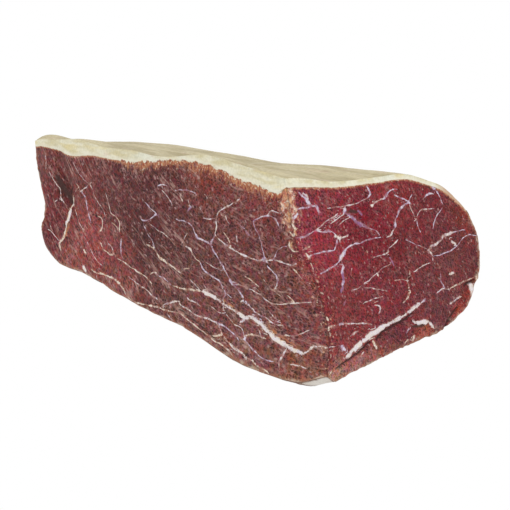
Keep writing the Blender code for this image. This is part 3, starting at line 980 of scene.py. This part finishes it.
def makeTracedLine():
    inputs = {"Shift": "Vector", "Facts": "Vector", "Place": "Vector"}
    group, given, end = newGroup("tracedLine", inputs, {"Line": "Float", "Tint": "Float"})
    facts = put(group, "SeparateXYZ", {0: given["Facts"]}).outputs
    distance = put(group, "VectorMath", {0: given["Shift"]}, operation="LENGTH").outputs["Value"]
    uneven = fade(group, cloud(group, given["Place"], 1.6), 0.3, 0.7, 0.6, 1.4)
    uneven = calc(group, "MULTIPLY", uneven, fade(group, cloud(group, given["Place"], 5.0), 0.38, 0.62, 0.55, 1.4))
    wide = fade(group, facts[1], 0.0009, 0.0013, 0.0, 0.8)
    uneven = put(group, "Mix", {0: wide, 2: uneven, 3: 1.0}, data_type="FLOAT").outputs[0]
    width = calc(group, "MULTIPLY", facts[1], uneven)
    ragged = calc(group, "SUBTRACT", cloud(group, given["Place"], 0.9, 3.0, 0.7), 0.5)
    reach = calc(group, "MINIMUM", calc(group, "MULTIPLY_ADD", facts[1], 1.9, 0.0002), 0.0008)
    reach = calc(group, "MULTIPLY", reach, calc(group, "SUBTRACT", 1.2, wide))
    jitter = calc(group, "MULTIPLY", ragged, reach)
    distance = calc(group, "ADD", distance, jitter)
    outer = calc(group, "MULTIPLY_ADD", width, 1.15, 0.00014)
    line = fade(group, distance, calc(group, "MULTIPLY", width, 0.45), outer, 1.0, 0.0)
    true = calc(group, "LESS_THAN", facts[0], calc(group, "ADD", facts[1], 0.0014))
    patchy = fade(group, cloud(group, given["Place"], 3.0, 2.0), 0.36, 0.60, 0.5, 1.0)
    strength = calc(group, "MAXIMUM", patchy, fade(group, facts[1], 0.0004, 0.0009, 0.0, 0.95))
    strength = calc(group, "MULTIPLY", strength, fade(group, ragged, -0.16, 0.10, fade(group, wide, 0.0, 0.8, 0.62, 0.92), 1.0))
    line = calc(group, "MULTIPLY", calc(group, "MULTIPLY", line, true), strength)
    drift = calc(group, "SUBTRACT", cloud(group, given["Place"], 2.6, 3.0), 0.5)
    tint = calc(group, "ADD", calc(group, "MULTIPLY_ADD", ragged, 0.3, facts[2]), calc(group, "MULTIPLY", drift, 0.7))
    return finishGroup(group, end, {"Line": line, "Tint": tint})


def makeSeamBreak():
    inputs = {"Gap": "Float", "Fray": "Float", "Place": "Vector"}
    group, given, end = newGroup("seamBreak", inputs, {"Fat": "Float", "Browned": "Float"})
    hanging = stretched(group, given["Place"], (1.0, 1.0, 0.5))
    teeth = calc(group, "SUBTRACT", cloud(group, hanging, 1.1, 3.0, 0.65), 0.5)
    scallop = calc(group, "SUBTRACT", cloud(group, given["Place"], 3.6, 2.0), 0.5)
    ragged = calc(group, "MULTIPLY_ADD", teeth, 1.5, calc(group, "MULTIPLY", scallop, 5.5))
    ragged = calc(group, "MULTIPLY", ragged, fade(group, given["Fray"], 0.0, 0.8, 0.16, 1.0))
    gap = calc(group, "MULTIPLY_ADD", given["Gap"], 1000.0, ragged)
    fat = fade(group, gap, -0.25, 0.35)
    strands = fade(group, cloud(group, hanging, 2.3, 4.0, 0.75), 0.36, 0.64, 0.15, 1.0)
    depth = calc(group, "MULTIPLY_ADD", strands, calc(group, "MULTIPLY", given["Fray"], 7.5), 0.5)
    below = calc(group, "MULTIPLY", gap, -1.0)
    browned = fade(group, calc(group, "DIVIDE", below, depth), 0.1, 1.1, 1.0, 0.0)
    return finishGroup(group, end, {"Fat": fat, "Browned": browned})


def makeCornerCrumble():
    inputs = {"Gap": "Float", "Place": "Vector"}
    group, given, end = newGroup("cornerCrumble", inputs, {"Colour": "Color", "Share": "Float"})
    reach = fade(group, cloud(group, given["Place"], 3.5, 2.0), 0.35, 0.65, 0.002, 0.0085)
    near = fade(group, calc(group, "DIVIDE", given["Gap"], reach), 0.5, 1.0, 1.0, 0.0)
    above = fade(group, put(group, "SeparateXYZ", {0: given["Place"]}).outputs[2], crumbleLow, crumbleHigh)
    patch = fade(group, cloud(group, given["Place"], 1.6, 3.0, 0.65), 0.42, 0.56, 0.25, 1.0)
    colour = blend(group, fade(group, cloud(group, given["Place"], 2.2, 3.0), 0.38, 0.54), (0.48, 0.14, 0.09, 1),
                   (0.66, 0.32, 0.18, 1))
    colour = blend(group, fade(group, cloud(group, given["Place"], 1.8, 3.0), 0.50, 0.60), colour,
                   (0.84, 0.66, 0.52, 1))
    share = calc(group, "MULTIPLY", calc(group, "MULTIPLY", near, above), patch)
    dots = fade(group, cloud(group, given["Place"], 1.5, 2.0), 0.60, 0.68, 0.0, 0.75)
    dots = calc(group, "MULTIPLY", dots, fade(group, given["Gap"], 0.003, 0.009, 1.0, 0.0))
    share = calc(group, "MAXIMUM", share, dots)
    return finishGroup(group, end, {"Colour": colour, "Share": share})


streaks = makeStreaks()
bundles = makeBundles()
tracedLine = makeTracedLine()
seamBreak = makeSeamBreak()
cornerCrumble = makeCornerCrumble()


def makeFleshLook():
    inputs = {"Tone": "Color", "Place": "Vector", "Fibre": "Vector", "Pale": "Float"}
    group, given, end = newGroup("fleshLook", inputs, {"Colour": "Color", "Height": "Float"})
    along = stretched(group, given["Fibre"], (0.17, 1.0, 1.0))
    small = useGroup(group, bundles, {"Place": given["Fibre"], "Size": 1.5, "Stretch": 1.7, "Wander": 1.5})
    large = useGroup(group, bundles, {"Place": given["Fibre"], "Size": 3.6, "Stretch": 2.4, "Wander": 1.4})
    fine = useGroup(group, streaks, {"Place": given["Fibre"], "Size": 1.3, "Stretch": 2.0})["Streak"]
    ridge = fade(group, small["Edge"], 0.02, 0.24, 1.0, 0.0)
    light = calc(group, "MULTIPLY_ADD", ridge, 0.84, 0.05)
    light = calc(group, "MULTIPLY_ADD", fine, 0.68, light)
    light = calc(group, "MULTIPLY_ADD", small["Bundle"], 0.28, light)
    light = calc(group, "MULTIPLY_ADD", large["Bundle"], 0.24, light)
    colour = put(group, "VectorMath", {0: given["Tone"], "Scale": light}, operation="SCALE").outputs[0]
    redder = fade(group, cloud(group, given["Place"], 3.2, 3.0), 0.36, 0.64)
    hue = blend(group, redder, (0.88, 1.18, 1.05, 1), (1.14, 0.78, 0.86, 1))
    colour = blend(group, 1.0, colour, hue, "MULTIPLY")
    bluer = fade(group, cloud(group, given["Fibre"], 2.8, 3.0), 0.36, 0.64)
    hue = blend(group, bluer, (1.05, 1.04, 0.66, 1), (0.96, 0.96, 1.32, 1))
    colour = blend(group, 1.0, colour, hue, "MULTIPLY")
    core = fade(group, small["Core"], 0.15, 0.6, 1.0, 0.0)
    pit = calc(group, "MULTIPLY", fade(group, small["Other"], 0.82, 0.94), core)
    colour = blend(group, calc(group, "MULTIPLY", pit, 0.4), colour, (0.030, 0.010, 0.008, 1))
    drier = calc(group, "MULTIPLY", fade(group, cloud(group, given["Place"], 8.0, 2.0), 0.38, 0.62, 0.35, 1.0), given["Pale"])
    dot = calc(group, "MULTIPLY", fade(group, small["Other"], 0.05, 0.13, 1.0, 0.0), core)
    film = calc(group, "MULTIPLY", ridge, fade(group, cloud(group, given["Fibre"], 2.6, 2.0), 0.48, 0.66, 0.04, 0.80))
    film = calc(group, "MULTIPLY", film, drier)
    colour = blend(group, calc(group, "MULTIPLY", film, 0.42), colour, (0.50, 0.28, 0.26, 1))
    colour = blend(group, calc(group, "MULTIPLY", dot, 0.48), colour, (0.60, 0.38, 0.35, 1))
    thread = calc(group, "ABSOLUTE", calc(group, "SUBTRACT", cloud(group, along, 3.0, 1.0, 0.4), 0.5))
    thread = fade(group, thread, 0.015, 0.065, 1.0, 0.0)
    shown = calc(group, "MULTIPLY", fade(group, cloud(group, along, 4.0, 2.0), 0.49, 0.62), given["Pale"])
    thread = calc(group, "MULTIPLY", calc(group, "MULTIPLY", thread, shown), drier)
    colour = blend(group, calc(group, "MULTIPLY", thread, 0.40), colour, (0.58, 0.37, 0.31, 1))
    web = calc(group, "MULTIPLY", fade(group, large["Edge"], 0.015, 0.075, 1.0, 0.0), drier)
    web = calc(group, "MULTIPLY", web, fade(group, cloud(group, given["Fibre"], 6.0, 3.0), 0.46, 0.62, 0.0, 0.24))
    colour = blend(group, web, colour, (0.60, 0.40, 0.36, 1))
    height = calc(group, "MULTIPLY_ADD", fine, 0.12, calc(group, "MULTIPLY", ridge, 0.10))
    return finishGroup(group, end, {"Colour": colour, "Height": height})


def makeFatLook():
    group, given, end = newGroup("fatLook", {"Place": "Vector"}, {"Colour": "Color", "Height": "Float"})
    layered = stretched(group, given["Place"], (0.22, 0.5, 1.0))
    broad = fade(group, cloud(group, layered, 3.2, 3.0), 0.35, 0.65)
    colour = blend(group, broad, (0.56, 0.50, 0.31, 1), (0.68, 0.65, 0.50, 1))
    warm = fade(group, cloud(group, layered, 6.0, 3.0), 0.53, 0.66)
    colour = blend(group, calc(group, "MULTIPLY", warm, 0.55), colour, (0.66, 0.56, 0.28, 1))
    cool = fade(group, cloud(group, layered, 8.0, 2.0), 0.52, 0.64)
    colour = blend(group, calc(group, "MULTIPLY", cool, 0.5), colour, (0.66, 0.68, 0.58, 1))
    pink = fade(group, cloud(group, stretched(group, given["Place"], (0.5, 1.0, 1.0)), 5.5, 2.0), 0.60, 0.75)
    colour = blend(group, calc(group, "MULTIPLY", pink, 0.35), colour, (0.58, 0.43, 0.33, 1))
    fleck = fade(group, cloud(group, given["Place"], 1.3, 3.0), 0.35, 0.65, 0.93, 1.07)
    colour = put(group, "VectorMath", {0: colour, "Scale": fleck}, operation="SCALE").outputs[0]
    height = cloud(group, layered, 1.2, 3.0)
    return finishGroup(group, end, {"Colour": colour, "Height": calc(group, "MULTIPLY", height, 0.12)})


def makeCrustLook():

    inputs = {"Place": "Vector", "Edge": "Float", "Tone": "Color", "Spot": "Float"}
    group, given, end = newGroup("crustLook", inputs, {"Colour": "Color", "Height": "Float"})
    along = stretched(group, given["Place"], (0.4, 1.0, 1.0))
    broad = fade(group, cloud(group, given["Place"], 18.0, 3.0), 0.35, 0.65)
    shade = blend(group, broad, (0.62, 0.66, 0.62, 1), (1.35, 1.25, 1.25, 1))
    colour = blend(group, 1.0, (*crustBase, 1), shade, "MULTIPLY")
    fine = fade(group, cloud(group, along, 1.6, 3.0), 0.3, 0.7, 0.7, 1.3)
    colour = put(group, "VectorMath", {0: colour, "Scale": fine}, operation="SCALE").outputs[0]
    film = fade(group, cloud(group, along, 6.0, 4.0, 0.7), 0.54, 0.66)
    colour = blend(group, calc(group, "MULTIPLY", film, 0.4), colour, (0.30, 0.18, 0.12, 1))
    bloom = fade(group, cloud(group, given["Place"], 1.1, 3.0, 0.7), 0.62, 0.72)
    colour = blend(group, calc(group, "MULTIPLY", bloom, 0.4), colour, (0.46, 0.37, 0.30, 1))
    folds = useGroup(group, bundles, {"Place": along, "Size": 5.0, "Stretch": 1.6, "Wander": 1.2})
    fold = fade(group, folds["Edge"], 0.0, 0.16, 1.0, 0.0)
    # painted shade: the fold creases, which the bump also sinks, are darkened
    colour = blend(group, calc(group, "MULTIPLY", fold, 0.5), colour, (0.035, 0.014, 0.010, 1))
    rim = fade(group, given["Edge"], 0.001, 0.008, 1.0, 0.0)
    skin = blend(group, fade(group, cloud(group, along, 1.3, 3.0), 0.4, 0.6), (0.24, 0.11, 0.070, 1), (0.38, 0.26, 0.18, 1))
    colour = blend(group, calc(group, "MULTIPLY", rim, 0.5), colour, skin)
    patch = calc(group, "MULTIPLY_ADD", cloud(group, given["Place"], 3.0, 3.0), 0.8, given["Spot"])
    colour = blend(group, fade(group, patch, 0.75, 1.05), colour, given["Tone"])
    height = calc(group, "MULTIPLY_ADD", fine, 0.15, calc(group, "MULTIPLY", fold, -0.25))
    return finishGroup(group, end, {"Colour": colour, "Height": height})


def makeRindLook():

    group, given, end = newGroup("fatRindLook", {"Place": "Vector"}, {"Colour": "Color", "Height": "Float"})
    along = stretched(group, given["Place"], (0.45, 1.0, 1.0))
    broad = fade(group, cloud(group, along, 14.0, 3.0), 0.35, 0.65)
    colour = blend(group, broad, (0.37, 0.31, 0.175, 1), (0.52, 0.455, 0.285, 1))
    worn = fade(group, cloud(group, along, 5.0, 4.0, 0.65), 0.50, 0.68)
    colour = blend(group, calc(group, "MULTIPLY", worn, 0.4), colour, (0.58, 0.53, 0.40, 1))
    pink = fade(group, cloud(group, along, 9.0, 2.0), 0.58, 0.72)
    colour = blend(group, calc(group, "MULTIPLY", pink, 0.4), colour, (0.55, 0.42, 0.31, 1))
    fleck = fade(group, cloud(group, given["Place"], 1.6, 3.0), 0.35, 0.65, 0.90, 1.08)
    colour = put(group, "VectorMath", {0: colour, "Scale": fleck}, operation="SCALE").outputs[0]
    height = cloud(group, along, 2.0, 4.0)
    return finishGroup(group, end, {"Colour": colour, "Height": calc(group, "MULTIPLY", height, 0.25)})


fleshLook = makeFleshLook()
fatLook = makeFatLook()
crustLook = makeCrustLook()
rindLook = makeRindLook()
thinColour = (0.34, 0.20, 0.10, 1)  # fat that has run out into a dry film
tintColours = {
    orange: (0.44, 0.15, 0.06, 1),
    tan: (0.58, 0.31, 0.15, 1),
    cream: (0.78, 0.70, 0.58, 1),
    white: (0.75, 0.69, 0.67, 1),
    lilac: (0.68, 0.63, 0.76, 1),
    purple: (0.27, 0.12, 0.26, 1),
}


def startMaterial(name):
    material = bpy.data.materials.new(name)
    material.use_nodes = True
    tree = material.node_tree
    place = put(tree, "TexCoord").outputs["Object"]
    read = {
        key: put(tree, "Attribute", attribute_name=key).outputs
        for key in ("lineShift", "lineFacts", "fibrePlace", "edgeFacts", "marks", "fleshTone")
    }
    edges = put(tree, "SeparateXYZ", {0: read["edgeFacts"]["Vector"]}).outputs
    marks = put(tree, "SeparateXYZ", {0: read["marks"]["Vector"]}).outputs
    return material, tree, tree.nodes["Principled BSDF"], place, read, edges, marks


def feedShader(tree, shader, colour, rough, height):
    tree.links.new(colour, shader.inputs["Base Color"])
    tree.links.new(rough, shader.inputs["Roughness"])
    bump = put(tree, "Bump", {"Height": height, "Strength": 1.0, "Distance": 0.001})
    tree.links.new(bump.outputs["Normal"], shader.inputs["Normal"])


def makeCutMaterial(name):
    material, tree, shader, place, read, edges, marks = startMaterial(name)
    fibre = read["fibrePlace"]["Vector"]
    links = {"Tone": read["fleshTone"]["Color"], "Place": place, "Fibre": fibre, "Pale": marks[2]}
    flesh = useGroup(tree, fleshLook, links)
    fat = useGroup(tree, fatLook, {"Place": place})
    seam = useGroup(tree, seamBreak, {"Gap": edges[0], "Fray": marks[0], "Place": place})
    links = {"Shift": read["lineShift"]["Vector"], "Facts": read["lineFacts"]["Vector"], "Place": place}
    line = useGroup(tree, tracedLine, links)
    curl = fade(tree, cloud(tree, stretched(tree, place, (1.0, 1.0, 0.5)), 1.1, 3.0), 0.38, 0.60)
    browned = blend(tree, curl, (0.33, 0.080, 0.045, 1), (0.56, 0.26, 0.12, 1))
    browned = blend(tree, fade(tree, cloud(tree, place, 1.3, 3.0), 0.56, 0.66), browned, (0.80, 0.64, 0.46, 1))
    colour = blend(tree, calc(tree, "MULTIPLY", seam["Browned"], 0.80), flesh["Colour"], browned)
    crumble = useGroup(tree, cornerCrumble, {"Gap": edges[2], "Place": place})
    colour = blend(tree, calc(tree, "MULTIPLY", crumble["Share"], 0.85), colour, crumble["Colour"])
    ramp = put(tree, "ValToRGB", {0: line["Tint"]})
    stops = ramp.color_ramp.elements
    stops[0].color, stops[-1].color = tintColours[orange], tintColours[purple]
    for position in (tan, cream, white, lilac):
        stops.new(position).color = tintColours[position]
    fringe = blend(tree, fade(tree, line["Tint"], 0.55, 0.75), (0.46, 0.22, 0.16, 1), (0.42, 0.22, 0.27, 1))
    lineColour = blend(tree, fade(tree, line["Line"], 0.30, 0.80), fringe, ramp.outputs["Color"])
    colour = blend(tree, line["Line"], colour, lineColour)
    # painted shade: the groove floors are darkened towards near black
    colour = blend(tree, fade(tree, marks[1], 0.15, 0.75, 0.0, 0.85), colour, (0.050, 0.024, 0.020, 1))
    fatColour = blend(tree, fade(tree, edges[0], 0.0003, 0.0028, 0.55, 0.0), fat["Colour"], (0.74, 0.71, 0.60, 1))
    film = calc(tree, "MULTIPLY", marks[1], -1.0)
    fatColour = blend(tree, film, fatColour, (0.50, 0.33, 0.22, 1))
    colour = blend(tree, seam["Fat"], colour, fatColour)
    rimReach = fade(tree, cloud(tree, place, 2.5), 0.3, 0.7, 0.0006, 0.0032)
    rim = calc(tree, "SUBTRACT", 1.0, calc(tree, "MINIMUM", calc(tree, "DIVIDE", edges[1], rimReach), 1.0))
    rim = calc(tree, "MULTIPLY", rim, fade(tree, edges[0], -0.0004, 0.0008, 0.75, 0.0))
    skin = blend(tree, fade(tree, cloud(tree, place, 4.0, 3.0), 0.45, 0.60), (0.36, 0.16, 0.095, 1),
                 (0.54, 0.42, 0.31, 1))
    colour = blend(tree, rim, colour, skin)
    height = calc(tree, "MULTIPLY_ADD", line["Line"], 0.12, flesh["Height"])
    height = put(tree, "Mix", {0: seam["Fat"], 2: height, 3: fat["Height"]}, data_type="FLOAT").outputs[0]
    rough = calc(tree, "MULTIPLY_ADD", flesh["Height"], 0.6, 0.50)
    feedShader(tree, shader, colour, rough, height)
    shader.inputs["Specular IOR Level"].default_value = 0.15
    return material


def makeOutsideMaterial(name):
    material, tree, shader, place, read, edges, marks = startMaterial(name)
    spot = read["fleshTone"]
    links = {"Place": place, "Edge": edges[1], "Tone": spot["Color"], "Spot": spot["Alpha"]}
    crust = useGroup(tree, crustLook, links)
    rind = useGroup(tree, rindLook, {"Place": place})
    seam = useGroup(tree, seamBreak, {"Gap": edges[0], "Fray": marks[0], "Place": place})
    uneven = calc(tree, "SUBTRACT", cloud(tree, place, 12.0, 5.0, 0.6), 0.5)
    thin = calc(tree, "SUBTRACT", calc(tree, "MULTIPLY", uneven, 1.8), marks[1])
    film = blend(tree, fade(tree, cloud(tree, place, 10.0, 5.0, 0.6), 0.40, 0.66, 0.25, 0.85), crust["Colour"],
                 thinColour)
    rindColour = blend(tree, fade(tree, thin, 0.2, 0.9), rind["Colour"], film)
    veil = calc(tree, "SUBTRACT", cloud(tree, place, 7.0, 5.0, 0.6), 0.5)
    veil = fade(tree, calc(tree, "MULTIPLY_ADD", veil, 0.05, edges[0]), -0.012, 0.0, 0.0, 0.75)
    crustColour = blend(tree, veil, crust["Colour"], (0.26, 0.14, 0.075, 1))
    colour = blend(tree, seam["Fat"], crustColour, rindColour)
    height = put(tree, "Mix", {0: seam["Fat"], 2: crust["Height"], 3: rind["Height"]}, data_type="FLOAT").outputs[0]
    rough = calc(tree, "MULTIPLY_ADD", height, 0.5, 0.58)
    feedShader(tree, shader, colour, rough, height)
    shader.inputs["Specular IOR Level"].default_value = 0.16
    return material


cutMaterial = makeCutMaterial("curedCut")
outsideMaterial = makeOutsideMaterial("driedOutside")
for name, node, slot in (("leanBlock", "lean_beef", "lean"), ("fatCap", "fat_cap", "fat")):
    piece = tissues[name][0]
    for material in (cutMaterial, cutMaterial, outsideMaterial, outsideMaterial):
        piece.data.materials.append(material)
    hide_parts(node)
    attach(piece, "root")
print("materials made")


# Floor and light
stageValues = {
    "floorSize": 6.0,
    "floorGlow": 1.0,
    "sky": 1.0,
    "key": {"place": (0.1, -1.1, 1.3), "size": 0.8, "power": 4.0},
    "side": {"place": (1.4, 0.1, 0.8), "size": 0.8, "power": 3.0},
}


def makeFloor():
    mesh = bpy.data.meshes.new("floor")
    bm = bmesh.new()
    bmesh.ops.create_grid(bm, x_segments=1, y_segments=1, size=stageValues["floorSize"] / 2)
    bm.to_mesh(mesh)
    bm.free()
    floor = bpy.data.objects.new("floor", mesh)
    bpy.context.scene.collection.objects.link(floor)
    material = bpy.data.materials.new("glowingFloor")
    material.use_nodes = True
    shader = material.node_tree.nodes["Principled BSDF"]
    shader.inputs["Base Color"].default_value = (0, 0, 0, 1)
    shader.inputs["Emission Color"].default_value = (1, 1, 1, 1)
    shader.inputs["Emission Strength"].default_value = stageValues["floorGlow"]
    shader.inputs["Specular IOR Level"].default_value = 0.0
    mesh.materials.append(material)


def makeLight(name):
    values = stageValues[name]
    data = bpy.data.lights.new(name, "AREA")
    data.size = values["size"]
    data.energy = values["power"]
    light = bpy.data.objects.new(name, data)
    bpy.context.scene.collection.objects.link(light)
    light.location = values["place"]
    light.rotation_mode = "QUATERNION"
    light.rotation_quaternion = (Vector((0, 0, 0.05)) - light.location).to_track_quat("-Z", "Y")


def makeSky():
    world = bpy.data.worlds.new("sky")
    world.use_nodes = True
    world.node_tree.nodes["Background"].inputs["Color"].default_value = (1, 1, 1, 1)
    world.node_tree.nodes["Background"].inputs["Strength"].default_value = stageValues["sky"]
    bpy.context.scene.world = world


makeFloor()
makeLight("key")
makeLight("side")
makeSky()
aimCamera(photoView)
bpy.context.scene.view_settings.view_transform = "Standard"
print("stage set")
